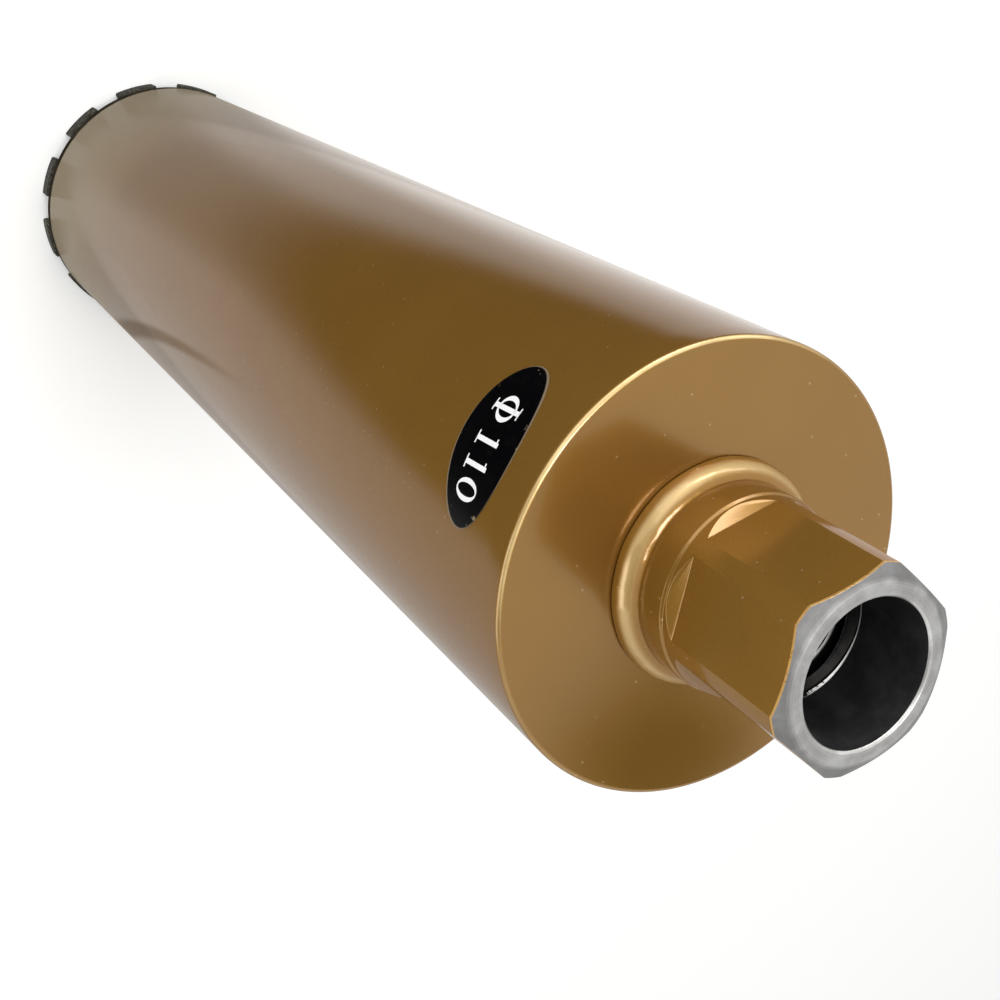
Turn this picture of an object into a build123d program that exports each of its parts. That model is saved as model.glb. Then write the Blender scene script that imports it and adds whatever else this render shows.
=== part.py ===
"""Diamond core bit: a long steel barrel, closed by an end plate with a threaded hexagon hub
at the top, and carrying a crown of cutting segments round its open lower rim.

The frame is in millimetres. The bit stands on its segments: Z = 0 is the cutting plane and
+Z runs along the bit's axis, up to the mouth of the hub.
"""
import os
from math import cos, radians, sin, tan

from build123d import *

# Barrel: a thin steel tube, open at its lower end
BARREL_DIAMETER = 108.0
BARREL_WALL = 2.0
BARREL_LENGTH = 415.0

# End plate: a turned disc that closes the tube, with a step that centres it inside the tube
END_PLATE_THICKNESS = 8.0
END_PLATE_EDGE_RADIUS = 1.2
END_PLATE_EDGE_BANDS = 4
END_PLATE_STEP_HEIGHT = 4.0
END_PLATE_STEP_CHAMFER = 0.8
PLATE_FIT_CLEARANCE = 0.1

# Hub: a turned bar with six milled flats, for a 41 mm wrench and a 1-1/4 inch, 7 threads per inch spindle
HUB_HEIGHT = 51.0
HUB_DIAMETER = 45.0
HUB_NECK_DIAMETER = 46.0
HUB_NECK_HEIGHT = 13.0
WRENCH_SIZE = 41.0
FLAT_COUNT = 6
FLAT_DIRECTION = 50.0
FLAT_START_HEIGHT = 16.5
FLAT_RUNOUT_ANGLE = 52.0
MOUTH_FACE_DIAMETER = 38.0
MOUTH_CHAMFER_ANGLE = 28.0
HUB_TAIL_DIAMETER = 40.0
HUB_FIT_CLEARANCE = 0.1

# Bore of the hub: a smooth counterbore that pilots the spindle, then the core hole of the thread
COUNTERBORE_DIAMETER = 32.0
COUNTERBORE_DEPTH = 20.0
COUNTERBORE_EDGE_CHAMFER = 0.5
THREAD_CORE_DIAMETER = 27.8
THREAD_LEAD_ANGLE = 45.0

# Weld bead that joins the hub to the end plate
BEAD_WIDTH = 3.0
BEAD_HEIGHT = 5.0
BEAD_BANDS = 5

# Crown: separate sintered segments, brazed to the lower end of the tube, which cut 110 mm across
SEGMENT_COUNT = 12
SEGMENT_HEIGHT = 7.0
SEGMENT_SPAN = 18.0
SEGMENT_OVERHANG = 1.0
SEGMENT_THICKNESS = 3.5
SEGMENT_CORNER_CHAMFER = 0.5
CROWN_DIRECTION = 17.0

# Size label: a thin oval label on the tube, below the end plate, stuck on by hand and a little askew
LABEL_WIDTH = 40.0
LABEL_HEIGHT = 22.0
LABEL_THICKNESS = 0.2
LABEL_DROP = 22.5
LABEL_TILT = 3.5

# Radii and levels that follow from the sizes above
BARREL_RADIUS = BARREL_DIAMETER / 2
BARREL_BORE_RADIUS = BARREL_RADIUS - BARREL_WALL
BARREL_BOTTOM = SEGMENT_HEIGHT
BARREL_TOP = BARREL_BOTTOM + BARREL_LENGTH
PLATE_TOP = BARREL_TOP + END_PLATE_THICKNESS
PLATE_BOTTOM = BARREL_TOP - END_PLATE_STEP_HEIGHT
HUB_RADIUS = HUB_DIAMETER / 2
HUB_NECK_RADIUS = HUB_NECK_DIAMETER / 2
HUB_TAIL_RADIUS = HUB_TAIL_DIAMETER / 2
MOUTH = PLATE_TOP + HUB_HEIGHT


def upright_plane(direction):
    """A plane through the axis: its x points outwards in the given direction, its y points up."""
    outwards = (cos(radians(direction)), sin(radians(direction)), 0)
    across = (sin(radians(direction)), -cos(radians(direction)), 0)
    return Plane(origin=(0, 0, 0), x_dir=outwards, z_dir=across)


def quarter_round(radius, level, width, height, bands):
    """Profile points of an outer corner rounded in flat bands, from its side up to its top."""
    turns = [radians(number * 90 / bands) for number in range(bands + 1)]
    return [(radius + width * cos(turn), level + height * sin(turn)) for turn in turns]


# Barrel tube
with BuildPart() as barrel_tube:
    with BuildSketch(Plane.XY.offset(BARREL_BOTTOM)):
        Circle(BARREL_RADIUS)
        Circle(BARREL_BORE_RADIUS, mode=Mode.SUBTRACT)
    extrude(amount=BARREL_LENGTH)

# End plate, turned: bored for the tail of the hub, stepped to fit the tube, with a rounded outer edge
plate_bore_radius = HUB_TAIL_RADIUS + HUB_FIT_CLEARANCE
plate_step_radius = BARREL_BORE_RADIUS - PLATE_FIT_CLEARANCE
plate_edge = quarter_round(
    BARREL_RADIUS - END_PLATE_EDGE_RADIUS,
    PLATE_TOP - END_PLATE_EDGE_RADIUS,
    END_PLATE_EDGE_RADIUS,
    END_PLATE_EDGE_RADIUS,
    END_PLATE_EDGE_BANDS,
)
with BuildPart() as end_plate:
    with BuildSketch(Plane.XZ):
        with BuildLine():
            Polyline(
                (plate_bore_radius, PLATE_TOP),
                (plate_bore_radius, PLATE_BOTTOM),
                (plate_step_radius - END_PLATE_STEP_CHAMFER, PLATE_BOTTOM),
                (plate_step_radius, PLATE_BOTTOM + END_PLATE_STEP_CHAMFER),
                (plate_step_radius, BARREL_TOP),
                (BARREL_RADIUS, BARREL_TOP),
                *plate_edge,
                close=True,
            )
        make_face()
    revolve(axis=Axis.Z)

# Hub, turned: tail, neck, hexagon stock, chamfered mouth, counterbore and core hole
core_radius = THREAD_CORE_DIAMETER / 2
counterbore_radius = COUNTERBORE_DIAMETER / 2
mouth_face_radius = MOUTH_FACE_DIAMETER / 2
neck_top = PLATE_TOP + HUB_NECK_HEIGHT
neck_step = HUB_NECK_RADIUS - HUB_RADIUS
mouth_drop = (HUB_RADIUS - mouth_face_radius) * tan(radians(MOUTH_CHAMFER_ANGLE))
counterbore_floor = MOUTH - COUNTERBORE_DEPTH
thread_lead = (counterbore_radius - core_radius) / tan(radians(THREAD_LEAD_ANGLE))

with BuildPart() as threaded_hub:
    with BuildSketch(Plane.XZ):
        with BuildLine():
            Polyline(
                (core_radius, PLATE_BOTTOM),
                (HUB_TAIL_RADIUS, PLATE_BOTTOM),
                (HUB_TAIL_RADIUS, PLATE_TOP),
                (HUB_NECK_RADIUS, PLATE_TOP),
                (HUB_NECK_RADIUS, neck_top),
                (HUB_RADIUS, neck_top + neck_step),
                (HUB_RADIUS, MOUTH - mouth_drop),
                (mouth_face_radius, MOUTH),
                (counterbore_radius + COUNTERBORE_EDGE_CHAMFER, MOUTH),
                (counterbore_radius, MOUTH - COUNTERBORE_EDGE_CHAMFER),
                (counterbore_radius, counterbore_floor),
                (core_radius, counterbore_floor - thread_lead),
                close=True,
            )
        make_face()
    revolve(axis=Axis.Z)

    # Six flats, each ending in a sloping run-out that the cutter leaves above the neck
    flat_distance = WRENCH_SIZE / 2
    cutter_reach = 2 * (HUB_RADIUS - flat_distance)
    flat_start = PLATE_TOP + FLAT_START_HEIGHT
    runout_drop = cutter_reach * tan(radians(FLAT_RUNOUT_ANGLE))
    for number in range(FLAT_COUNT):
        with BuildSketch(upright_plane(FLAT_DIRECTION + number * 360 / FLAT_COUNT)):
            with BuildLine():
                Polyline(
                    (flat_distance, flat_start),
                    (flat_distance + cutter_reach, flat_start - runout_drop),
                    (flat_distance + cutter_reach, MOUTH + cutter_reach),
                    (flat_distance, MOUTH + cutter_reach),
                    close=True,
                )
            make_face()
        extrude(amount=HUB_RADIUS, both=True, mode=Mode.SUBTRACT)

# Weld bead: a rounded ring in the corner between the neck and the end plate
with BuildPart() as hub_weld:
    with BuildSketch(Plane.XZ):
        with BuildLine():
            Polyline(
                (HUB_NECK_RADIUS, PLATE_TOP),
                *quarter_round(HUB_NECK_RADIUS, PLATE_TOP, BEAD_WIDTH, BEAD_HEIGHT, BEAD_BANDS),
                close=True,
            )
        make_face()
    revolve(axis=Axis.Z)

# Size label: an oval cut from a thin shell that follows the tube
label_middle = PLATE_TOP - LABEL_DROP
label_plane = Plane(origin=(0, -BARREL_RADIUS / 2, label_middle), x_dir=(1, 0, 0), z_dir=(0, -1, 0))
with BuildPart() as size_label:
    with BuildSketch(Plane.XY.offset(label_middle - LABEL_HEIGHT)):
        Circle(BARREL_RADIUS + LABEL_THICKNESS)
        Circle(BARREL_RADIUS, mode=Mode.SUBTRACT)
    extrude(amount=2 * LABEL_HEIGHT)
    with BuildSketch(label_plane):
        Ellipse(BARREL_RADIUS * sin(LABEL_WIDTH / 2 / BARREL_RADIUS), LABEL_HEIGHT / 2, rotation=LABEL_TILT)
    extrude(amount=BARREL_RADIUS, mode=Mode.INTERSECT)

# Cutting segments, evenly spaced with water gaps between them
segments = {}
segment_bore = BARREL_RADIUS + SEGMENT_OVERHANG - SEGMENT_THICKNESS
for number in range(SEGMENT_COUNT):
    first_side = CROWN_DIRECTION - SEGMENT_SPAN / 2 + number * 360 / SEGMENT_COUNT
    with BuildPart() as segment:
        with BuildSketch(upright_plane(first_side)):
            with Locations((segment_bore, 0)):
                Rectangle(SEGMENT_THICKNESS, SEGMENT_HEIGHT, align=(Align.MIN, Align.MIN))
        revolve(axis=Axis.Z, revolution_arc=SEGMENT_SPAN)
        chamfer(segment.edges().filter_by(Axis.Z), SEGMENT_CORNER_CHAMFER)
    segments[f"segment_{number + 1:02d}"] = segment.part

pieces = {
    "barrel_tube": barrel_tube.part,
    "end_plate": end_plate.part,
    "threaded_hub": threaded_hub.part,
    "hub_weld": hub_weld.part,
    "size_label": size_label.part,
    **segments,
}

os.makedirs("parts", exist_ok=True)
for name, piece in pieces.items():
    piece.label = name
    export_step(piece, f"parts/{name}.step")
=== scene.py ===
"""Diamond core bit: the looks of the painted barrel, end plate, hub, weld, label and cutting crown."""
import math

import bpy
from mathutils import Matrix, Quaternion, Vector


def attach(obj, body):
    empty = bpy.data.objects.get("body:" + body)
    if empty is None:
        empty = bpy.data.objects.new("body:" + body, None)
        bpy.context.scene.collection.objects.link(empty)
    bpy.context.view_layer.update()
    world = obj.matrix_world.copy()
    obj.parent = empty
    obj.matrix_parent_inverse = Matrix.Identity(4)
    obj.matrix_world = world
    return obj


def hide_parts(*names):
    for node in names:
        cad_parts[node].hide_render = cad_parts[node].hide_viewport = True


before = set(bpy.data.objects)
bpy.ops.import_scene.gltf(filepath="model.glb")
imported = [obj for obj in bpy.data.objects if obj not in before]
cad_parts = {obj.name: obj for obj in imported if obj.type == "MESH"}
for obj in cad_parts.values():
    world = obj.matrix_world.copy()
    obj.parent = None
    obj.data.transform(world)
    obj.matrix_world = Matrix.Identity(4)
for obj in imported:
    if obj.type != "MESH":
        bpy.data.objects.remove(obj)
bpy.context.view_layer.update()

MM = 0.001

# Levels along the bit, from the cutting plane up to the mouth of the hub
TUBE_END = 7 * MM
PAINT_END = 12 * MM
TUBE_TOP = 422 * MM
PLATE_STEP_LEVEL = 418 * MM
PLATE_FACE = 430 * MM
NECK_TOP = 443 * MM
FLAT_START = 446.5 * MM
THREAD_END = 416 * MM
COUNTERBORE_FLOOR = 461 * MM
MOUTH = 481 * MM

# Radii of the turned pieces
BARREL_RADIUS = 54 * MM
BARREL_BORE = 52 * MM
TUBE_END_ROUND = 0.25 * MM
PLATE_STEP_RADIUS = 51.9 * MM
PLATE_STEP_CHAMFER = 0.8 * MM
PLATE_BORE = 20.1 * MM
PLATE_EDGE_ROUND = 1.2 * MM
HUB_TAIL_RADIUS = 20 * MM
HUB_NECK_RADIUS = 23 * MM
HUB_RADIUS = 22.5 * MM
HUB_EDGE_ROUND = 0.22 * MM
FLAT_DISTANCE = 20.5 * MM
MOUTH_FACE_RADIUS = 19 * MM
MOUTH_CHAMFER = math.radians(28)
COUNTERBORE_RADIUS = 16 * MM
COUNTERBORE_CHAMFER = 0.5 * MM
CORE_RADIUS = 13.9 * MM

# Profile of the weld bead, from its root inside the neck: a hand weld, a little fuller than the CAD ring
BEAD_ROOT = HUB_NECK_RADIUS - 0.5 * MM
BEAD_WIDTH = 4.2 * MM
BEAD_HEIGHT = 5.4 * MM

# Oval label, stuck on a little askew: its middle lies at -Y
LABEL_MIDDLE = PLATE_FACE - 22.5 * MM
LABEL_HALF_WIDTH = 19.5 * MM
LABEL_HALF_HEIGHT = 11 * MM
LABEL_TILT = math.radians(3.5)

# Six wrench flats, and the spindle thread of 7 turns to the inch
FLAT_COUNT = 6
FLAT_DIRECTION = math.radians(50)
FLAT_RUNOUT = math.radians(52)
THREAD_PITCH = 25.4 / 7 * MM
THREAD_RADIUS = 15.875 * MM
THREAD_FLANK = math.radians(30)
TAP_OVERLAP = 0.45 * MM

# Steps round a turned piece, and the turn that stands a flat primitive up to face -Y
AROUND = 192
UPRIGHT = (math.pi / 2, 0, 0)

# A place off the axis and its symmetry planes, from which the parts of a mesh are numbered
ORDER_PLACE = (0.31, 0.17, -0.23)


# Making pieces

def start_fresh():
    """Leaves nothing selected before a new primitive is added."""
    if bpy.context.object and bpy.context.object.mode != "OBJECT":
        bpy.ops.object.mode_set(mode="OBJECT")
    bpy.ops.object.select_all(action="DESELECT")


def pick(piece):
    """Selects this piece alone."""
    start_fresh()
    piece.select_set(True)
    bpy.context.view_layer.objects.active = piece


def settle(piece):
    """Puts the piece's place, turn and size into its mesh."""
    pick(piece)
    bpy.ops.object.transform_apply(location=True, rotation=True, scale=True)


def select_points(piece, chosen):
    """Opens the piece in edit mode with only the points of this place selected."""
    pick(piece)
    bpy.ops.object.mode_set(mode="EDIT")
    bpy.ops.mesh.select_mode(type="VERT")
    bpy.ops.mesh.select_all(action="DESELECT")
    bpy.ops.object.mode_set(mode="OBJECT")
    for point in piece.data.vertices:
        point.select = chosen(point.co)
    bpy.ops.object.mode_set(mode="EDIT")


def apply_modifier(piece, kind, **values):
    """Adds a modifier with these values and applies it."""
    pick(piece)
    modifier = piece.modifiers.new(kind.lower(), kind)
    for name, value in values.items():
        setattr(modifier, name, value)
    bpy.ops.object.modifier_apply(modifier=modifier.name)


def put_in_order():
    """Numbers what is selected by its distance from one place, so that each run gives the same mesh."""
    bpy.context.scene.cursor.location = ORDER_PLACE
    bpy.ops.mesh.sort_elements(type="CURSOR_DISTANCE", elements={"VERT", "EDGE", "FACE"})
    bpy.context.scene.cursor.location = (0, 0, 0)


def clean_normals(piece):
    """Merges doubles and points all the faces outwards."""
    pick(piece)
    bpy.ops.object.mode_set(mode="EDIT")
    bpy.ops.mesh.select_all(action="SELECT")
    bpy.ops.mesh.remove_doubles(threshold=0.002 * MM)
    bpy.ops.mesh.normals_make_consistent(inside=False)
    put_in_order()
    bpy.ops.object.mode_set(mode="OBJECT")


def smooth(piece, degrees=30):
    """Shades the piece smooth, apart from its sharp edges."""
    pick(piece)
    bpy.ops.object.shade_smooth_by_angle(angle=math.radians(degrees))


def turned(name, profile, around=AROUND):
    """A piece turned on the lathe from a closed profile of (radius, level) points."""
    start_fresh()
    radius, level = profile[0]
    bpy.ops.mesh.primitive_circle_add(vertices=around, radius=radius, location=(0, 0, level))
    piece = bpy.context.object
    piece.name = name
    settle(piece)
    bpy.ops.object.mode_set(mode="EDIT")
    bpy.ops.mesh.select_all(action="SELECT")
    for next_radius, next_level in [*profile[1:], profile[0]]:
        bpy.ops.mesh.extrude_edges_move(
            TRANSFORM_OT_translate={"value": (0, 0, next_level - level)}
        )
        grow = next_radius / radius
        bpy.ops.transform.resize(value=(grow, grow, 1), center_override=(0, 0, next_level))
        radius, level = next_radius, next_level
    bpy.ops.object.mode_set(mode="OBJECT")
    clean_normals(piece)
    return piece


def rounding(middle, radii, start, end, bands):
    """Profile points on a round from one angle to another, in degrees from straight outwards."""
    turns = [math.radians(start + (end - start) * n / bands) for n in range(bands + 1)]
    return [(middle[0] + radii[0] * math.cos(t), middle[1] + radii[1] * math.sin(t)) for t in turns]


# Making materials

def new_group(name, inputs, outputs):
    """A shader node group with named sockets of these kinds."""
    group = bpy.data.node_groups.new(name, "ShaderNodeTree")
    for way, sockets in (("INPUT", inputs), ("OUTPUT", outputs)):
        for label, kind in sockets.items():
            group.interface.new_socket(name=label, in_out=way, socket_type="NodeSocket" + kind)
    return group, group.nodes.new("NodeGroupInput"), group.nodes.new("NodeGroupOutput")


def fill(tree, made, values):
    """Sets or links inputs of a node, by name or number."""
    for key, value in values.items():
        if isinstance(value, bpy.types.NodeSocket):
            tree.links.new(value, made.inputs[key])
        else:
            made.inputs[key].default_value = value


def node(tree, kind, values=None, **settings):
    """A new node with its settings, and values or links for its inputs."""
    made = tree.nodes.new("ShaderNode" + kind)
    for name, value in settings.items():
        setattr(made, name, value)
    fill(tree, made, values or {})
    return made


def math_node(tree, operation, first, second=0.0):
    """The output of a Math node."""
    return node(tree, "Math", {0: first, 1: second}, operation=operation).outputs[0]


def total(tree, first, *others):
    """The sum of the values."""
    for other in others:
        first = math_node(tree, "ADD", first, other)
    return first


def product(tree, first, *others):
    """The values multiplied with each other."""
    for other in others:
        first = math_node(tree, "MULTIPLY", first, other)
    return first


def difference(tree, first, second):
    """The first value less the second."""
    return math_node(tree, "SUBTRACT", first, second)


def noise(tree, place, scale, detail=2.0, rough=0.5):
    """The value of a Noise texture, at a number of grains to the metre."""
    values = {"Vector": place, "Scale": scale, "Detail": detail, "Roughness": rough}
    return node(tree, "TexNoise", values).outputs["Fac"]


def scattered(tree, place, scale, size, chance):
    """Grains of this size, with soft edges, in the cells whose lot is high enough."""
    cells = node(tree, "TexVoronoi", {"Vector": place, "Scale": scale, "Randomness": 1.0})
    lot = node(tree, "SeparateColor", {0: cells.outputs["Color"]}).outputs[0]
    return product(tree, ramp(tree, cells.outputs["Distance"], *size), ramp(tree, lot, *chance))


def ramp(tree, value, low, high):
    """Runs softly from 0 at the low value to 1 at the high one."""
    values = {"Value": value, "From Min": low, "From Max": high}
    return node(tree, "MapRange", values, interpolation_type="SMOOTHSTEP").outputs["Result"]


def blend_colour(tree, share, first, second, how="MIX"):
    """The output of a colour Mix node."""
    values = {0: share, 6: first, 7: second}
    return node(tree, "Mix", values, data_type="RGBA", blend_type=how).outputs[2]


def blend_value(tree, share, first, second):
    """The output of a value Mix node."""
    return node(tree, "Mix", {0: share, 2: first, 3: second}, data_type="FLOAT").outputs[0]


def towards(tree, place, side):
    """How far a place lies to this side of the bit's axis."""
    values = {0: place, 1: (math.cos(side), math.sin(side), 0)}
    return node(tree, "VectorMath", values, operation="DOT_PRODUCT").outputs["Value"]


def place_group():
    """Distance from the bit's axis and height on it, from Object coordinates."""
    outputs = {"Radius": "Float", "Height": "Float"}
    group, start, end = new_group("place_on_bit", {"Place": "Vector"}, outputs)
    parts = node(group, "SeparateXYZ", {0: start.outputs["Place"]})
    x, y = parts.outputs["X"], parts.outputs["Y"]
    square = total(group, product(group, x, x), product(group, y, y))
    fill(group, end, {"Radius": math_node(group, "SQRT", square), "Height": parts.outputs["Z"]})
    return group


def on_bit(tree, place):
    """The Radius and Height of a place, from the bit's axis and cutting plane."""
    return node(tree, "Group", {"Place": place}, node_tree=PLACE).outputs


def gold_group():
    """Sprayed gold paint: mottled colour, fine flake, stray specks, orange peel, thin where it is worn."""
    group, start, end = new_group(
        "gold_spray",
        {"Place": "Vector", "Wear": "Float", "Satin": "Float"},
        {"Colour": "Color", "Roughness": "Float", "Coat": "Float", "Height": "Float"},
    )
    place = start.outputs["Place"]
    cloud = noise(group, place, 22, 3, 0.55)
    flake = noise(group, place, 5200, 2, 0.7)
    speck = scattered(group, place, 300.0, (0.11, 0.06), (0.64, 0.68))
    worn = product(group, start.outputs["Wear"], ramp(group, noise(group, place, 900, 3, 0.6), 0.2, 0.5))
    colour = blend_colour(group, ramp(group, cloud, 0.3, 0.7), GOLD_DEEP, GOLD_LIGHT)
    colour = blend_colour(group, ramp(group, flake, 0.35, 0.7), colour, GOLD_FLAKE)
    colour = blend_colour(group, speck, colour, GOLD_SPECK)
    rough = total(group, start.outputs["Satin"], product(group, cloud, 0.06))
    peel = product(group, noise(group, place, 420, 2, 0.5), 0.6)
    grain = product(group, noise(group, place, 2600, 2, 0.6), 0.25)
    fill(group, end, {
        "Colour": blend_colour(group, worn, colour, GOLD_WORN),
        "Roughness": blend_value(group, worn, rough, WORN_ROUGHNESS),
        "Coat": blend_value(group, worn, LACQUER_WEIGHT, WORN_LACQUER_WEIGHT),
        "Height": total(group, peel, grain, product(group, speck, 0.8)),
    })
    return group


def steel_group():
    """Bare steel: fine turning rings and light stains."""
    group, start, end = new_group(
        "bare_steel",
        {"Place": "Vector", "Bright": "Color", "Dark": "Color", "Ring": "Color", "Satin": "Float"},
        {"Colour": "Color", "Roughness": "Float", "Height": "Float"},
    )
    place = start.outputs["Place"]
    spot = on_bit(group, place)
    lathe = node(group, "CombineXYZ", {"X": spot["Radius"], "Y": spot["Height"]})
    rings = noise(group, lathe.outputs[0], 3200, 3, 0.65)
    stain = noise(group, place, 160, 4, 0.6)
    clean = ramp(group, stain, 0.35, 0.7)
    fine = product(group, ramp(group, rings, 0.3, 0.7), 0.35)
    colour = blend_colour(group, clean, start.outputs["Dark"], start.outputs["Bright"])
    fill(group, end, {
        "Colour": blend_colour(group, fine, colour, start.outputs["Ring"]),
        "Roughness": total(group, start.outputs["Satin"], product(group, stain, 0.15)),
        "Height": total(group, rings, product(group, stain, 0.5)),
    })
    return group


def steel_node(tree, place, bright, dark, ring, satin):
    """Bare steel in these colours, as a node with its colour, roughness and height."""
    values = {"Place": place, "Bright": bright, "Dark": dark, "Ring": ring, "Satin": satin}
    return node(tree, "Group", values, node_tree=STEEL)


def new_material(name):
    """A material with its Principled shader and Object coordinates."""
    material = bpy.data.materials.new(name)
    material.use_nodes = True
    tree = material.node_tree
    shader = next(n for n in tree.nodes if n.type == "BSDF_PRINCIPLED")
    place = tree.nodes.new("ShaderNodeTexCoord").outputs["Object"]
    return material, tree, shader, place


def bump(tree, shader, height, distance, strength=1.0):
    """Raises the surface by a height map, in metres."""
    made = node(tree, "Bump", {"Height": height, "Distance": distance, "Strength": strength})
    tree.links.new(made.outputs[0], shader.inputs["Normal"])


def gold_paint_material(name, metallic, satin, painted_light_lift=1.0, wear=None, bare=None, heated=None, painted_highlight_mask=None):
    """Gold paint under clear lacquer, painted lighter by a lift as painted light, with masks for where it is
    worn, bare or heated, and where a paler gold is painted as a highlight.
    """
    material, tree, shader, place = new_material(name)
    gold = node(tree, "Group", {"Place": place, "Satin": satin}, node_tree=GOLD)
    if wear:
        fill(tree, gold, {"Wear": wear(tree, place)})
    colour, rough, coat, height = (gold.outputs[n] for n in ("Colour", "Roughness", "Coat", "Height"))
    # Painted light: the paint's colour is multiplied by this part's lift, so one copy of the same paint is
    # painted lighter than another
    colour = blend_colour(tree, 1.0, colour, (painted_light_lift, painted_light_lift, painted_light_lift, 1), "MULTIPLY")
    # Painted highlight: a paler gold where the mask says, in place of a lamp's highlight
    if painted_highlight_mask:
        colour = blend_colour(tree, painted_highlight_mask(tree, place), colour, GOLD_PAINTED_HIGHLIGHT)
    if heated:
        dust, ash = heated(tree, place)
        colour = blend_colour(tree, ash, blend_colour(tree, dust, colour, GOLD_DUSTY), GOLD_ASHEN)
        rough = blend_value(tree, ash, rough, ASH_ROUGHNESS)
        coat = product(tree, coat, difference(tree, 1.0, product(tree, ash, ASH_DULLING)))
        metallic = blend_value(tree, ash, metallic, 0.0)
    if bare:
        mask = bare(tree, place)
        steel = steel_node(tree, place, SCORCHED_LIGHT, SCORCHED_DARK, SCORCHED_LIGHT, 0.5)
        colour = blend_colour(tree, mask, colour, steel.outputs["Colour"])
        rough = blend_value(tree, mask, rough, steel.outputs["Roughness"])
        coat = product(tree, coat, difference(tree, 1.0, mask))
        height = blend_value(tree, mask, height, steel.outputs["Height"])
        metallic = blend_value(tree, mask, metallic, 0.4)
    fill(tree, shader, {
        "Base Color": colour,
        "Roughness": rough,
        "Metallic": metallic,
        "Coat Weight": coat,
        "Coat Roughness": LACQUER_ROUGHNESS,
        "Specular IOR Level": 0.0,
        "Specular Tint": GOLD_EDGE_TINT,
    })
    bump(tree, shader, height, 0.03 * MM, 0.6)
    return material


def steel_material(name, bright, dark, ring, satin, relief, metallic=1.0, painted_shade_mask=None, shade=None):
    """Bare turned steel, with a mask for where shade is painted over it in a darker colour."""
    material, tree, shader, place = new_material(name)
    steel = steel_node(tree, place, bright, dark, ring, satin)
    colour = steel.outputs["Colour"]
    # Painted shade: the steel is darkened where the mask says
    if painted_shade_mask:
        colour = blend_colour(tree, painted_shade_mask(tree, place), colour, shade, "MULTIPLY")
    fill(tree, shader, {"Base Color": colour, "Roughness": steel.outputs["Roughness"], "Metallic": metallic})
    bump(tree, shader, steel.outputs["Height"], relief)
    return material


def segment_material():
    """Sintered metal bond with diamond grit, rough from pressing and firing."""
    material, tree, shader, place = new_material("sintered_segment")
    bond = noise(tree, place, 700, 4, 0.7)
    pores = noise(tree, place, 2600, 3, 0.6)
    crystal = scattered(tree, place, 1500.0, (0.32, 0.24), (0.7, 0.72))
    colour = blend_colour(tree, ramp(tree, bond, 0.35, 0.65), BOND_DARK, BOND_LIGHT)
    fill(tree, shader, {
        "Base Color": blend_colour(tree, crystal, colour, DIAMOND_GRIT),
        "Roughness": blend_value(tree, crystal, blend_value(tree, pores, 0.45, 0.65), 0.2),
        "Metallic": blend_value(tree, crystal, 0.75, 0.1),
    })
    height = total(tree, bond, product(tree, pores, 0.5), product(tree, crystal, 1.5))
    bump(tree, shader, height, 0.08 * MM)
    return material


def film_material(name, colour, faded, rough, edge=None):
    """Printed film: thin even ink with dust and faint rub marks, and a mask for a highlight painted along
    its edge and the chips in its ink.
    """
    material, tree, shader, place = new_material(name)
    dust = noise(tree, place, 380, 4, 0.65)
    rub = noise(tree, place, 60, 3, 0.5)
    ink = blend_colour(tree, ramp(tree, dust, 0.5, 0.85), colour, faded)
    # Painted highlight along the film's edge, with its chips
    if edge:
        ink = blend_colour(tree, edge(tree, place), ink, LABEL_EDGE_HIGHLIGHT_AND_CHIPS)
    fill(tree, shader, {
        "Base Color": ink,
        "Roughness": blend_value(tree, rub, rough - 0.08, rough + 0.1),
        "Specular IOR Level": 0.12,
    })
    bump(tree, shader, dust, 0.006 * MM)
    return material


# Looks of the paint: its clear lacquer, where it is worn, and where ash from the brazing dulls it
LACQUER_WEIGHT = 0.95
LACQUER_ROUGHNESS = 0.12
WORN_LACQUER_WEIGHT = 0.5
WORN_ROUGHNESS = 0.3
ASH_ROUGHNESS = 0.6
ASH_DULLING = 0.65

# Colours
GOLD_DEEP = (0.21, 0.103, 0.0155, 1)
GOLD_LIGHT = (0.24, 0.120, 0.0190, 1)
GOLD_FLAKE = (0.28, 0.147, 0.0270, 1)
GOLD_SPECK = (0.35, 0.24, 0.11, 1)
GOLD_WORN = (0.58, 0.34, 0.11, 1)
GOLD_DUSTY = (0.36, 0.25, 0.105, 1)
GOLD_ASHEN = (0.345, 0.300, 0.228, 1)
# A paler gold, painted on round edges as a highlight
GOLD_PAINTED_HIGHLIGHT = (0.82, 0.61, 0.28, 1)
GOLD_EDGE_TINT = (0.5, 0.28, 0.08, 1)
STEEL_BRIGHT = (0.40, 0.395, 0.385, 1)
STEEL_DARK = (0.25, 0.245, 0.235, 1)
STEEL_RING = (0.46, 0.455, 0.445, 1)
BORE_BRIGHT = (0.105, 0.103, 0.104, 1)
BORE_DARK = (0.055, 0.054, 0.055, 1)
BORE_RING = (0.100, 0.098, 0.098, 1)
CREST_BRIGHT = (0.50, 0.49, 0.47, 1)
CREST_DARK = (0.26, 0.255, 0.245, 1)
# Near black, painted in the threaded bore as shadow
ROOT_SHADOW_LIGHTER = (0.020, 0.019, 0.018, 1)
ROOT_SHADOW_DARKER = (0.008, 0.008, 0.008, 1)
SCORCHED_DARK = (0.024, 0.022, 0.016, 1)
SCORCHED_LIGHT = (0.055, 0.050, 0.036, 1)
BOND_DARK = (0.030, 0.028, 0.023, 1)
BOND_LIGHT = (0.090, 0.084, 0.068, 1)
DIAMOND_GRIT = (0.42, 0.42, 0.25, 1)
LABEL_BLACK = (0.0008, 0.0008, 0.0015, 1)
LABEL_DUSTY = (0.005, 0.005, 0.005, 1)
# Pale gold, painted along the label's edge as a highlight and showing in its chips
LABEL_EDGE_HIGHLIGHT_AND_CHIPS = (0.22, 0.17, 0.11, 1)
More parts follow.
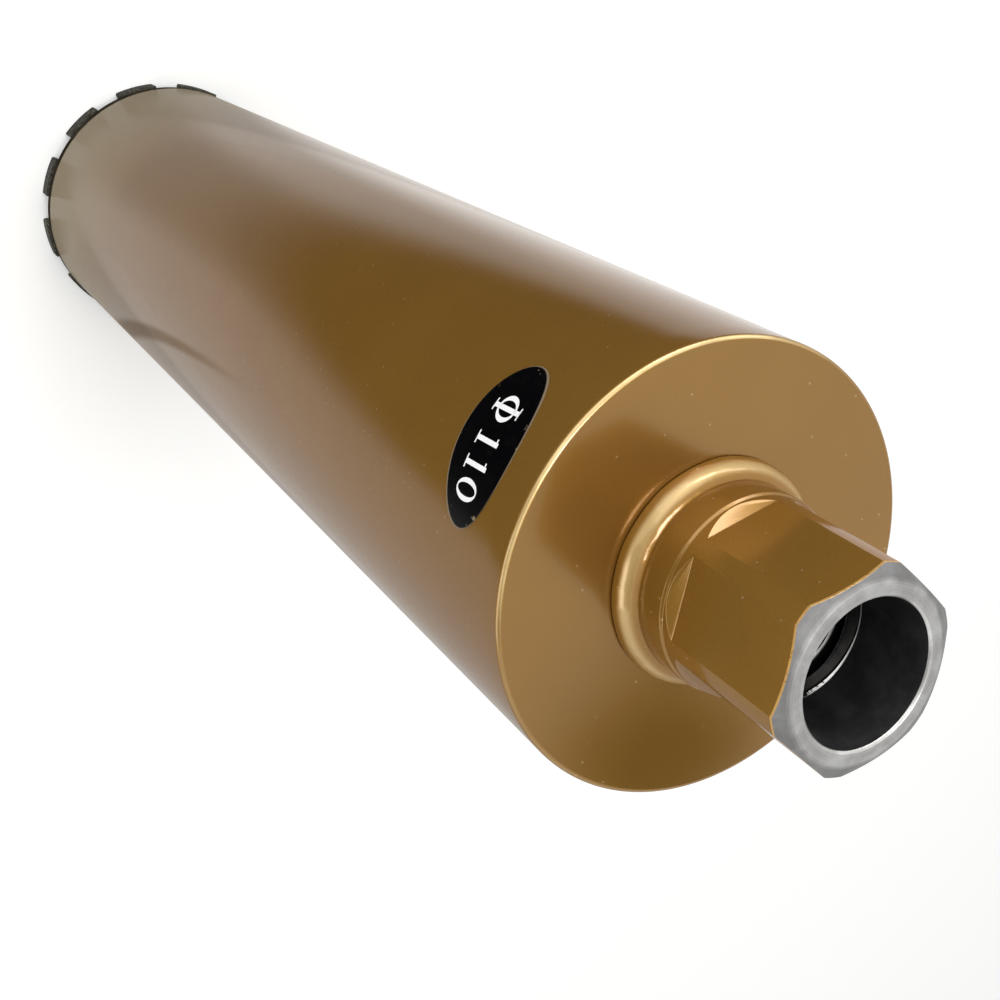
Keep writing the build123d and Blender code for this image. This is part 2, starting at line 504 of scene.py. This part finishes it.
# Painted shade, multiplied over the mouth's chamfer and the thread's flanks
CHAMFER_PAINTED_SHADE = (0.55, 0.55, 0.56, 1)
FLANK_PAINTED_SHADE = (0.03, 0.03, 0.03, 1)
# Pale steel, painted on the bore's edge as a highlight
EDGE_HIGHLIGHT_BRIGHT = (0.75, 0.74, 0.72, 1)
EDGE_HIGHLIGHT_DARK = (0.45, 0.44, 0.42, 1)
PRINT_WHITE = (0.90, 0.90, 0.90, 1)
PRINT_GREY = (0.74, 0.74, 0.74, 1)

# The side on which the painted highlight on the plate's rim is brightest
RIM_HIGHLIGHT_SIDE = math.radians(243)

PLACE = place_group()
GOLD = gold_group()
STEEL = steel_group()


# Masks: 1 where a zone of the bit is, 0 elsewhere

def bare_tube_end(tree, place):
    """Where the crown's brazing leaves the tube's last few millimetres bare, and inside the tube."""
    spot = on_bit(tree, place)
    level = total(tree, spot["Height"], product(tree, noise(tree, place, 300, 4, 0.6), 1.6 * MM))
    low = ramp(tree, level, PAINT_END + 1.0 * MM, PAINT_END + 0.6 * MM)
    inside = ramp(tree, spot["Radius"], BARREL_BORE + 0.6 * MM, BARREL_BORE + 0.4 * MM)
    return math_node(tree, "MAXIMUM", low, inside)


def hub_mouth_wear(tree, place):
    """Thin paint in a narrow line next to the hub's bare mouth."""
    spot = on_bit(tree, place)
    radius = spot["Radius"]
    slope = product(tree, difference(tree, radius, MOUTH_FACE_RADIUS), math.tan(MOUTH_CHAMFER))
    below_mouth = total(tree, difference(tree, spot["Height"], MOUTH), slope)
    line = ramp(tree, below_mouth, -0.65 * MM, -0.45 * MM)
    return product(tree, line, ramp(tree, radius, HUB_RADIUS - 3 * MM, HUB_RADIUS - 2.5 * MM))


def crest_band(tree, place, middle, rise, fall):
    """A band along a round edge: it rises and falls between these degrees from straight up."""
    spot = on_bit(tree, place)
    outward = difference(tree, spot["Radius"], middle[0])
    upward = difference(tree, spot["Height"], middle[1])
    lean = math_node(tree, "ARCTAN2", outward, upward)
    sides = [ramp(tree, lean, math.radians(start), math.radians(end)) for start, end in (rise, fall)]
    return product(tree, *sides)


def rim_painted_highlight(tree, place):
    """Painted highlight on the round of the plate's rim, a little uneven and brightest on one side."""
    middle = (BARREL_RADIUS - PLATE_EDGE_ROUND, PLATE_FACE - PLATE_EDGE_ROUND)
    band = crest_band(tree, place, middle, (12, 24), (66, 52))
    uneven = blend_value(tree, ramp(tree, noise(tree, place, 90, 3, 0.6), 0.35, 0.6), 0.65, 1.0)
    radius = on_bit(tree, place)["Radius"]
    facing = math_node(tree, "DIVIDE", towards(tree, place, RIM_HIGHLIGHT_SIDE), radius)
    highlight_side_share = blend_value(tree, ramp(tree, facing, 0.4, 0.8), 0.15, 1.0)
    return product(tree, band, uneven, highlight_side_share)


def bead_painted_highlight(tree, place):
    """Painted highlight along the crest of the weld bead."""
    return product(tree, crest_band(tree, place, (BEAD_ROOT, PLATE_FACE), (15, 38), (68, 48)), 0.5)


def mouth_chamfer_painted_shade(tree, place):
    """The chamfer round the hub's mouth, painted darker than the faced end as painted shade."""
    radius = on_bit(tree, place)["Radius"]
    ragged = total(tree, radius, product(tree, noise(tree, place, 220, 3, 0.6), 1.6 * MM))
    return ramp(tree, ragged, MOUTH_FACE_RADIUS + 0.6 * MM, MOUTH_FACE_RADIUS + 2.0 * MM)


def thread_flank_painted_shade(tree, place):
    """Painted shade over the thread's flanks, leaving thin bright lines at the edges of its crests."""
    radius = on_bit(tree, place)["Radius"]
    return ramp(tree, radius, CORE_RADIUS + 0.3 * MM, CORE_RADIUS + 0.65 * MM)


def label_edge_highlight_and_chips(tree, place):
    """A highlight painted along the label film's cut edge, and a few small chips in its ink."""
    parts = node(tree, "SeparateXYZ", {0: place})
    across = math_node(tree, "DIVIDE", parts.outputs["X"], LABEL_HALF_WIDTH)
    rise = difference(tree, parts.outputs["Z"], LABEL_MIDDLE)
    level = difference(tree, rise, product(tree, parts.outputs["X"], math.tan(LABEL_TILT)))
    upward = math_node(tree, "DIVIDE", level, LABEL_HALF_HEIGHT)
    reach = total(tree, product(tree, across, across), product(tree, upward, upward))
    line = ramp(tree, reach, 0.955, 0.985)
    torn = ramp(tree, noise(tree, place, 420, 3, 0.6), 0.62, 0.68)
    return math_node(tree, "MAXIMUM", line, product(tree, torn, ramp(tree, reach, 0.8, 0.9)))


def crown_heat(tree, place):
    """Dust and ash on the paint, both heavier towards the crown, from the heat of brazing."""
    height = on_bit(tree, place)["Height"]
    level = total(tree, height, product(tree, noise(tree, place, 30, 3), 30 * MM))
    dust = product(tree, ramp(tree, level, 170 * MM, 40 * MM), 0.4)
    ash = product(tree, ramp(tree, level, 150 * MM, 18 * MM), 0.85)
    return dust, ash


# Copies of one gold paint: the plate, rim, hub and weld are painted lighter than the barrel by their lifts,
# as painted light
barrel_paint = gold_paint_material("barrel_gold_paint", metallic=0.4, satin=0.36,
                                   bare=bare_tube_end, heated=crown_heat)
plate_paint = gold_paint_material("plate_gold_paint", metallic=0.7, satin=0.2, painted_light_lift=1.16)
# The rim's round carries a painted highlight
rim_paint = gold_paint_material("rim_gold_paint", metallic=0.4, satin=0.3, painted_light_lift=1.1, painted_highlight_mask=rim_painted_highlight)
hub_paint = gold_paint_material("hub_gold_paint", metallic=0.42, satin=0.2, painted_light_lift=1.2, wear=hub_mouth_wear)
# The weld bead's crest carries a painted highlight
weld_paint = gold_paint_material("weld_gold_paint", metallic=0.3, satin=0.26, painted_light_lift=1.3, painted_highlight_mask=bead_painted_highlight)
# The mouth's chamfer is painted darker, as shade
mouth_steel = steel_material("turned_mouth_steel", STEEL_BRIGHT, STEEL_DARK, STEEL_RING, satin=0.45,
                             relief=0.006 * MM, metallic=0.25, painted_shade_mask=mouth_chamfer_painted_shade, shade=CHAMFER_PAINTED_SHADE)
# The bore's edge, painted pale as a highlight
edge_highlight_steel = steel_material("bore_edge_highlight_steel", EDGE_HIGHLIGHT_BRIGHT, EDGE_HIGHLIGHT_DARK, EDGE_HIGHLIGHT_BRIGHT, satin=0.28,
                            relief=0.004 * MM, metallic=0.9)
bore_steel = steel_material("oiled_bore_steel", BORE_BRIGHT, BORE_DARK, BORE_RING, satin=0.36,
                            relief=0.003 * MM, metallic=0.8)
# The thread's flanks are painted dark as shade, so its crests show as thin bright lines
crest_steel = steel_material("thread_crest_steel", CREST_BRIGHT, CREST_DARK, CREST_BRIGHT, satin=0.48,
                             relief=0.004 * MM, painted_shade_mask=thread_flank_painted_shade, shade=FLANK_PAINTED_SHADE)
# The threaded bore outside the crests, painted near black as shadow
root_painted_shadow = steel_material("thread_root_painted_shadow", ROOT_SHADOW_LIGHTER, ROOT_SHADOW_DARKER, ROOT_SHADOW_LIGHTER, satin=0.4,
                            relief=0.004 * MM)
segment_finish = segment_material()
label_film = film_material("black_label_film", LABEL_BLACK, LABEL_DUSTY, rough=0.22, edge=label_edge_highlight_and_chips)
white_print = film_material("white_label_print", PRINT_WHITE, PRINT_GREY, rough=0.4)


def dress(piece, *materials, zone=None):
    """Gives the piece these materials alone, and each face the one of its zone, where zones are given."""
    piece.data.materials.clear()
    for material in materials:
        piece.data.materials.append(material)
    if zone:
        for face in piece.data.polygons:
            chosen = zone(face.center.xy.length, face.center.z, face.normal.z)
            face.material_index = materials.index(chosen)


def stand_for(piece, cad_node):
    """The piece takes the CAD node's place on the bit."""
    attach(piece, "root")
    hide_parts(cad_node)


# Barrel tube
barrel = turned("barrel", [
    (BARREL_BORE + TUBE_END_ROUND, TUBE_END),
    *rounding((BARREL_RADIUS - TUBE_END_ROUND, TUBE_END + TUBE_END_ROUND),
              (TUBE_END_ROUND, TUBE_END_ROUND), -90, 0, 3),
    (BARREL_RADIUS, TUBE_TOP),
    (BARREL_BORE, TUBE_TOP),
    (BARREL_BORE, TUBE_END + TUBE_END_ROUND),
])
smooth(barrel)
dress(barrel, barrel_paint)
stand_for(barrel, "barrel_tube")


# End plate, with its rounded rim
def plate_zone(radius, level, upward):
    """Material of a face of the plate: a smooth flat, a round with a painted highlight and a side like the
    barrel's.
    """
    if radius <= BARREL_RADIUS - PLATE_EDGE_ROUND:
        return plate_paint
    return rim_paint if upward > 0.3 else barrel_paint


plate = turned("plate", [
    (PLATE_BORE, PLATE_FACE),
    (PLATE_BORE, PLATE_STEP_LEVEL),
    (PLATE_STEP_RADIUS - PLATE_STEP_CHAMFER, PLATE_STEP_LEVEL),
    (PLATE_STEP_RADIUS, PLATE_STEP_LEVEL + PLATE_STEP_CHAMFER),
    (PLATE_STEP_RADIUS, TUBE_TOP),
    (BARREL_RADIUS, TUBE_TOP),
    *rounding((BARREL_RADIUS - PLATE_EDGE_ROUND, PLATE_FACE - PLATE_EDGE_ROUND),
              (PLATE_EDGE_ROUND, PLATE_EDGE_ROUND), 0, 90, 8),
])
smooth(plate)
dress(plate, plate_paint, barrel_paint, rim_paint, zone=plate_zone)
stand_for(plate, "end_plate")

# Weld bead between the hub and the plate, with the slight waves of its run
bead = turned("weld_bead", [
    (BEAD_ROOT, PLATE_FACE - 0.25 * MM),
    *rounding((BEAD_ROOT, PLATE_FACE), (BEAD_WIDTH, BEAD_HEIGHT), 0, 90, 16),
])
apply_modifier(bead, "SUBSURF", levels=1, render_levels=1)
run = bpy.data.textures.new("weld_run", "CLOUDS")
run.noise_scale = 7 * MM
apply_modifier(bead, "DISPLACE", texture=run, texture_coords="LOCAL", mid_level=0.5, strength=0.35 * MM)
smooth(bead, 40)
dress(bead, weld_paint)
stand_for(bead, "hub_weld")

# Hub: the turned blank
mouth_drop = (HUB_RADIUS - MOUTH_FACE_RADIUS) * math.tan(MOUTH_CHAMFER)
lead = COUNTERBORE_RADIUS - CORE_RADIUS
hub = turned("hub", [
    (CORE_RADIUS, PLATE_STEP_LEVEL),
    (HUB_TAIL_RADIUS, PLATE_STEP_LEVEL),
    (HUB_TAIL_RADIUS, PLATE_FACE),
    (HUB_NECK_RADIUS, PLATE_FACE),
    (HUB_NECK_RADIUS, NECK_TOP),
    (HUB_RADIUS, NECK_TOP + HUB_NECK_RADIUS - HUB_RADIUS),
    (HUB_RADIUS, MOUTH - mouth_drop),
    (MOUTH_FACE_RADIUS, MOUTH),
    (COUNTERBORE_RADIUS + COUNTERBORE_CHAMFER, MOUTH),
    (COUNTERBORE_RADIUS, MOUTH - COUNTERBORE_CHAMFER),
    (COUNTERBORE_RADIUS, COUNTERBORE_FLOOR),
    (CORE_RADIUS, COUNTERBORE_FLOOR - lead),
])

# Hub: six flats, milled with a cutter that leaves sloping run-outs
cutter_depth = 2 * (HUB_RADIUS - FLAT_DISTANCE)
cutter_top = MOUTH + 4 * MM
cutters = []
for number in range(FLAT_COUNT):
    start_fresh()
    middle = (FLAT_DISTANCE + cutter_depth / 2, 0, (FLAT_START + cutter_top) / 2)
    bpy.ops.mesh.primitive_cube_add(size=1, location=middle)
    cutter = bpy.context.object
    cutter.scale = (cutter_depth, 22 * MM, cutter_top - FLAT_START)
    settle(cutter)
    select_points(cutter, lambda at: at.x > FLAT_DISTANCE + cutter_depth / 2 and at.z < FLAT_START + 1 * MM)
    bpy.ops.transform.translate(value=(0, 0, -cutter_depth * math.tan(FLAT_RUNOUT)))
    bpy.ops.object.mode_set(mode="OBJECT")
    cutter.rotation_euler.z = FLAT_DIRECTION + number * math.tau / FLAT_COUNT
    settle(cutter)
    cutters.append(cutter)
for cutter in cutters:
    apply_modifier(hub, "BOOLEAN", operation="DIFFERENCE", solver="EXACT", object=cutter)
    bpy.data.objects.remove(cutter)
clean_normals(hub)
apply_modifier(hub, "BEVEL", width=HUB_EDGE_ROUND, segments=3, limit_method="ANGLE",
               angle_limit=math.radians(13))

# Hub: the thread, cut by a swept 60 degree tool
half_root = THREAD_PITCH / 16
tool_depth = THREAD_RADIUS - (CORE_RADIUS - TAP_OVERLAP)
tool_half = half_root + tool_depth * math.tan(THREAD_FLANK)
tool_middle = THREAD_RADIUS - tool_depth / 2
start_fresh()
bpy.ops.mesh.primitive_plane_add(size=1, location=(tool_middle, 0, THREAD_END), rotation=UPRIGHT)
tap = bpy.context.object
tap.name = "tap"
tap.scale = (tool_depth, 2 * tool_half, 1)
settle(tap)
for corner in tap.data.vertices:
    if corner.co.x > tool_middle:
        corner.co.z = THREAD_END + math.copysign(half_root, corner.co.z - THREAD_END)
turns = math.ceil((COUNTERBORE_FLOOR + 2 * MM - THREAD_END) / THREAD_PITCH)
apply_modifier(tap, "SCREW", screw_offset=THREAD_PITCH, iterations=turns, steps=72, render_steps=72)
pick(tap)
bpy.ops.object.mode_set(mode="EDIT")
bpy.ops.mesh.select_all(action="DESELECT")
bpy.ops.mesh.select_non_manifold()
bpy.ops.mesh.edge_face_add()
bpy.ops.object.mode_set(mode="OBJECT")
clean_normals(tap)
apply_modifier(hub, "BOOLEAN", operation="DIFFERENCE", solver="EXACT", object=tap)
bpy.data.objects.remove(tap)
apply_modifier(hub, "TRIANGULATE", min_vertices=5)
smooth(hub, 18)


def hub_zone(radius, level, upward):
    """Material of a face of the hub: painted outside, bare at the mouth and in the bore, with shadow painted
    near black in the threaded bore outside its crests and a highlight painted pale on the bore's edge.
    """
    on_bore_edge = COUNTERBORE_RADIUS + 0.01 * MM < radius < MOUTH_FACE_RADIUS and level > MOUTH - 1 * MM
    beside_floor = -0.3 * MM < radius - COUNTERBORE_RADIUS < 0 and abs(level - COUNTERBORE_FLOOR) < 0.3 * MM
    if on_bore_edge and upward < 0.93 or beside_floor and upward > 0.1:
        return edge_highlight_steel
    if upward > 0.3 and radius < THREAD_RADIUS and THREAD_END < level < COUNTERBORE_FLOOR - lead:
        return crest_steel
    if radius < COUNTERBORE_RADIUS - 0.05 * MM and level < COUNTERBORE_FLOOR + 0.05 * MM:
        return root_painted_shadow
    if radius < COUNTERBORE_RADIUS + 0.01 * MM or level < PLATE_STEP_LEVEL + 0.1 * MM:
        return bore_steel
    if upward > 0.7 and level > MOUTH - mouth_drop - 0.5 * MM:
        return mouth_steel
    return hub_paint


dress(hub, hub_paint, mouth_steel, bore_steel, crest_steel, root_painted_shadow, edge_highlight_steel, zone=hub_zone)
stand_for(hub, "threaded_hub")

# Size mark: a diameter sign and 110, printed on the label


def print_stroke(x, z, wide, high):
    """A flat upright or level stroke of the print, in front of the label."""
    start_fresh()
    bpy.ops.mesh.primitive_grid_add(x_subdivisions=4, y_subdivisions=8, size=1,
                                    location=(x, PRINT_DEPTH, z), rotation=UPRIGHT)
    stroke = bpy.context.object
    stroke.scale = (wide, high, 1)
    settle(stroke)
    return stroke


def print_ring(x, z, wide, high, side, top):
    """A flat oval ring of the print, thicker at its sides than at its top."""
    start_fresh()
    bpy.ops.mesh.primitive_circle_add(vertices=72, radius=0.5,
                                      location=(x, PRINT_DEPTH, z), rotation=UPRIGHT)
    ring = bpy.context.object
    ring.scale = (wide, high, 1)
    settle(ring)
    bpy.ops.object.mode_set(mode="EDIT")
    bpy.ops.mesh.select_all(action="SELECT")
    bpy.ops.mesh.extrude_edges_move()
    bpy.ops.transform.resize(value=((wide - 2 * side) / wide, 1, (high - 2 * top) / high),
                             center_override=(x, PRINT_DEPTH, z))
    bpy.ops.object.mode_set(mode="OBJECT")
    return ring


def print_one(x, z, high):
    """The figure 1: a thick stem with a foot and a small flag."""
    stem = 1.15 * MM
    foot = print_stroke(x, z - high / 2 + 0.2 * MM, 3.1 * MM, 0.4 * MM)
    flag = print_stroke(x - stem / 2 - 0.35 * MM, z + high / 2 - 0.75 * MM, 0.9 * MM, 0.42 * MM)
    return [print_stroke(x, z, stem, high), foot, flag]


PRINT_DEPTH = -54.7 * MM
SIGN_X = -7.8 * MM
FIGURE_HIGH = 8.6 * MM
marks = [
    print_ring(SIGN_X, LABEL_MIDDLE, 6.6 * MM, 6.6 * MM, 1.25 * MM, 0.45 * MM),
    print_stroke(SIGN_X, LABEL_MIDDLE, 1.2 * MM, 10 * MM),
    print_stroke(SIGN_X, LABEL_MIDDLE + 4.8 * MM, 3.0 * MM, 0.4 * MM),
    print_stroke(SIGN_X, LABEL_MIDDLE - 4.8 * MM, 3.0 * MM, 0.4 * MM),
    *print_one(0.2 * MM, LABEL_MIDDLE, FIGURE_HIGH),
    *print_one(5.9 * MM, LABEL_MIDDLE, FIGURE_HIGH),
    print_ring(11.4 * MM, LABEL_MIDDLE, 4.9 * MM, 8.2 * MM, 1.1 * MM, 0.42 * MM),
]
start_fresh()
for mark in marks:
    mark.select_set(True)
bpy.context.view_layer.objects.active = marks[0]
bpy.ops.object.join()
size_mark = bpy.context.object
size_mark.name = "size_mark"
settle(size_mark)
bpy.ops.object.mode_set(mode="EDIT")
bpy.ops.mesh.select_all(action="SELECT")
bpy.ops.transform.rotate(value=LABEL_TILT, orient_axis="Y", center_override=(0, PRINT_DEPTH, LABEL_MIDDLE))
put_in_order()
bpy.ops.object.mode_set(mode="OBJECT")
apply_modifier(size_mark, "SHRINKWRAP", wrap_method="PROJECT", use_project_y=True,
               target=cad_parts["size_label"], offset=0.03 * MM)
apply_modifier(size_mark, "SOLIDIFY", thickness=0.04 * MM, offset=0)
dress(size_mark, white_print)
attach(size_mark, "root")

# Cutting segments and label keep their CAD shape
for name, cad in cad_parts.items():
    if name.startswith("segment_"):
        dress(cad, segment_finish)
dress(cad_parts["size_label"], label_film)

# Floor and light
ROOM_LEVEL = 0.45
FLOOR_GLOW = 0.3
FLOOR_PALE = (0.9, 0.9, 0.88, 1)
FLOOR_SHADE = (0.87, 0.87, 0.85, 1)
CARD_DEEP = (0.012, 0.009, 0.007, 1)
CARD_WORN = (0.018, 0.014, 0.011, 1)
CARD_BLACK = (0.02, 0.018, 0.016, 1)
PANEL_WHITE = (1.0, 0.98, 0.94, 1)
WHITE = (1, 1, 1, 1)


def straight_seen(tree):
    """1 where the camera sees this directly, in a mirror or through glass."""
    ray = tree.nodes.new("ShaderNodeLightPath")
    seen = math_node(tree, "MAXIMUM", ray.outputs["Is Camera Ray"], ray.outputs["Is Glossy Ray"])
    return math_node(tree, "MAXIMUM", seen, ray.outputs["Is Transmission Ray"])


start_fresh()
bpy.ops.mesh.primitive_plane_add(size=24, location=(0, 0, -0.02 * MM))
floor = bpy.context.object
floor.name = "floor"
material, tree, shader, place = new_material("pale_floor")
fill(tree, shader, {
    "Base Color": blend_colour(tree, noise(tree, place, 3, 3), FLOOR_SHADE, FLOOR_PALE),
    "Roughness": 0.9,
    "Specular IOR Level": 0.1,
    "Emission Strength": product(tree, straight_seen(tree), FLOOR_GLOW),
    "Emission Color": WHITE,
})
dress(floor, material)


def keep_to_mirrors(card):
    """Leaves the card to the object's shine: it gives and takes no light and no shadow."""
    card.visible_camera = card.visible_diffuse = card.visible_shadow = False
    card.visible_transmission = False


# A card on the floor, for the lacquer to mirror: dark in front of the bit beyond a soft edge,
# half dark before that edge and away from the bright side, and with one dark streak beside the bit
DARK_SIDE = math.radians(246)
DARK_FROM, DARK_TO = 85 * MM, 170 * MM
BRIGHT_SIDE = math.radians(120)
STREAK_SIDE, STREAK_WAY = math.radians(48.1), math.radians(-41.9)
STREAK_OFF = 56 * MM
NEAR_DARKNESS, DIM_DARKNESS, STREAK_DARKNESS = 0.42, 0.45, 0.55
start_fresh()
bpy.ops.mesh.primitive_plane_add(size=2.4, location=(0, 0, 0.3 * MM))
card = bpy.context.object
card.name = "dark_studio_card"
settle(card)
material, tree, shader, place = new_material("dark_card")
way = node(tree, "VectorMath", {0: place}, operation="NORMALIZE").outputs["Vector"]
along = towards(tree, place, STREAK_WAY)
off_line = math_node(tree, "ABSOLUTE", difference(tree, towards(tree, place, STREAK_SIDE), STREAK_OFF))
far = ramp(tree, towards(tree, place, DARK_SIDE), DARK_FROM, DARK_TO)
near = product(tree, ramp(tree, towards(tree, way, DARK_SIDE), 0.65, 0.97), NEAR_DARKNESS)
dim = product(tree, ramp(tree, towards(tree, way, BRIGHT_SIDE), 0.98, 0.55), DIM_DARKNESS)
ends = product(tree, ramp(tree, along, 28 * MM, 45 * MM), ramp(tree, along, 150 * MM, 90 * MM))
streak = product(tree, ramp(tree, off_line, 9 * MM, 3 * MM), ends, STREAK_DARKNESS)
clear = product(tree, *(difference(tree, 1.0, darkness) for darkness in (far, near, dim, streak)))
fill(tree, shader, {
    "Base Color": blend_colour(tree, noise(tree, place, 40, 3), CARD_DEEP, CARD_WORN),
    "Roughness": 0.9,
    "Alpha": difference(tree, 1.0, clear),
})
dress(card, material)
keep_to_mirrors(card)


def aimed_card(name, direction, rise, reach, wide, high, colour, glow, edge):
    """A soft-edged card for the object's shine alone: it faces the hub from these angles, in degrees."""
    start_fresh()
    bpy.ops.mesh.primitive_plane_add(size=1)
    made = bpy.context.object
    made.name = name
    made.scale = (wide, high, 1)
    pick(made)
    bpy.ops.object.transform_apply(location=False, rotation=False, scale=True)
    turn, tip = math.radians(direction), math.radians(rise)
    flat = reach * math.cos(tip)
    made.location = (flat * math.cos(turn), flat * math.sin(turn), PLATE_FACE + reach * math.sin(tip))
    made.rotation_mode = "QUATERNION"
    made.rotation_quaternion = made.location.copy().to_track_quat("Z", "Y")
    material, tree, shader, place = new_material(name)
    shade = blend_colour(tree, noise(tree, place, 6, 2), colour, [0.8 * part for part in colour[:3]] + [1])
    parts = node(tree, "SeparateXYZ", {0: place})
    cover = 1.0
    for part, half in ((parts.outputs["X"], wide / 2), (parts.outputs["Y"], high / 2)):
        inside = ramp(tree, math_node(tree, "ABSOLUTE", part), half, half * (1 - edge))
        cover = product(tree, cover, inside)
    fill(tree, shader, {"Base Color": shade, "Roughness": 0.9, "Emission Color": shade,
                        "Emission Strength": glow, "Alpha": cover})
    dress(made, material)
    keep_to_mirrors(made)


aimed_card("left_panel", direction=201, rise=18, reach=0.9, wide=0.4, high=0.22,
           colour=PANEL_WHITE, glow=9, edge=0.3)
aimed_card("dark_front_card", direction=309, rise=28, reach=0.7, wide=0.9, high=0.6,
           colour=CARD_BLACK, glow=0, edge=0.3)
aimed_card("dark_back_card", direction=71, rise=40, reach=1.2, wide=0.40, high=0.38,
           colour=CARD_BLACK, glow=0, edge=0.7)

world = bpy.data.worlds.new("soft_room")
bpy.context.scene.world = world
world.use_nodes = True
tree = world.node_tree
sky = next(n for n in tree.nodes if n.type == "BACKGROUND")
fill(tree, sky, {"Color": WHITE, "Strength": blend_value(tree, straight_seen(tree), ROOM_LEVEL, 1.0)})


def softbox(name, eye, aim, wide, high, power):
    """A soft rectangular lamp, aimed at a point."""
    lamp = bpy.data.lights.new(name, "AREA")
    lamp.shape = "RECTANGLE"
    lamp.size, lamp.size_y, lamp.energy = wide, high, power
    made = bpy.data.objects.new(name, lamp)
    bpy.context.scene.collection.objects.link(made)
    made.location = eye
    made.rotation_mode = "QUATERNION"
    made.rotation_quaternion = (Vector(aim) - Vector(eye)).to_track_quat("-Z", "Y")


softbox("overhead_softbox", (-0.1, -0.05, 1.9), (0, 0, 0), wide=0.45, high=0.45, power=10)
softbox("window_strip", (-1.05, -0.2, 0.82), (0, 0, 0.45), wide=1.3, high=0.15, power=2.2)
softbox("front_softbox", (-0.8, -0.85, 0.95), (0, 0, 0.3), wide=1.2, high=1.2, power=6)
softbox("side_softbox", (0.95, -0.85, 0.35), (0, 0, 0.2), wide=1.0, high=1.0, power=7)

# Camera, rolled and shifted as the photo's framing asks
EYE = Vector((-16.4, -233.1, 666.6)) * MM
AIM = Vector((-55.7, 41.8, 250.8)) * MM
ROLL = math.radians(113.8)
SHIFT_X, SHIFT_Y = -0.06, -0.24
FOCAL_LENGTH, SENSOR_WIDTH = 52.49, 36
lens = bpy.data.cameras.new("camera")
lens.lens, lens.sensor_width = FOCAL_LENGTH, SENSOR_WIDTH
lens.shift_x, lens.shift_y = SHIFT_X, SHIFT_Y
lens.clip_start, lens.clip_end = 0.01, 60
camera = bpy.data.objects.new("camera", lens)
bpy.context.scene.collection.objects.link(camera)
camera.rotation_mode = "QUATERNION"
camera.location = EYE
camera.rotation_quaternion = (AIM - EYE).to_track_quat("-Z", "Y") @ Quaternion((0, 0, 1), ROLL)
bpy.context.scene.camera = camera
bpy.context.scene.view_settings.view_transform = "Standard"
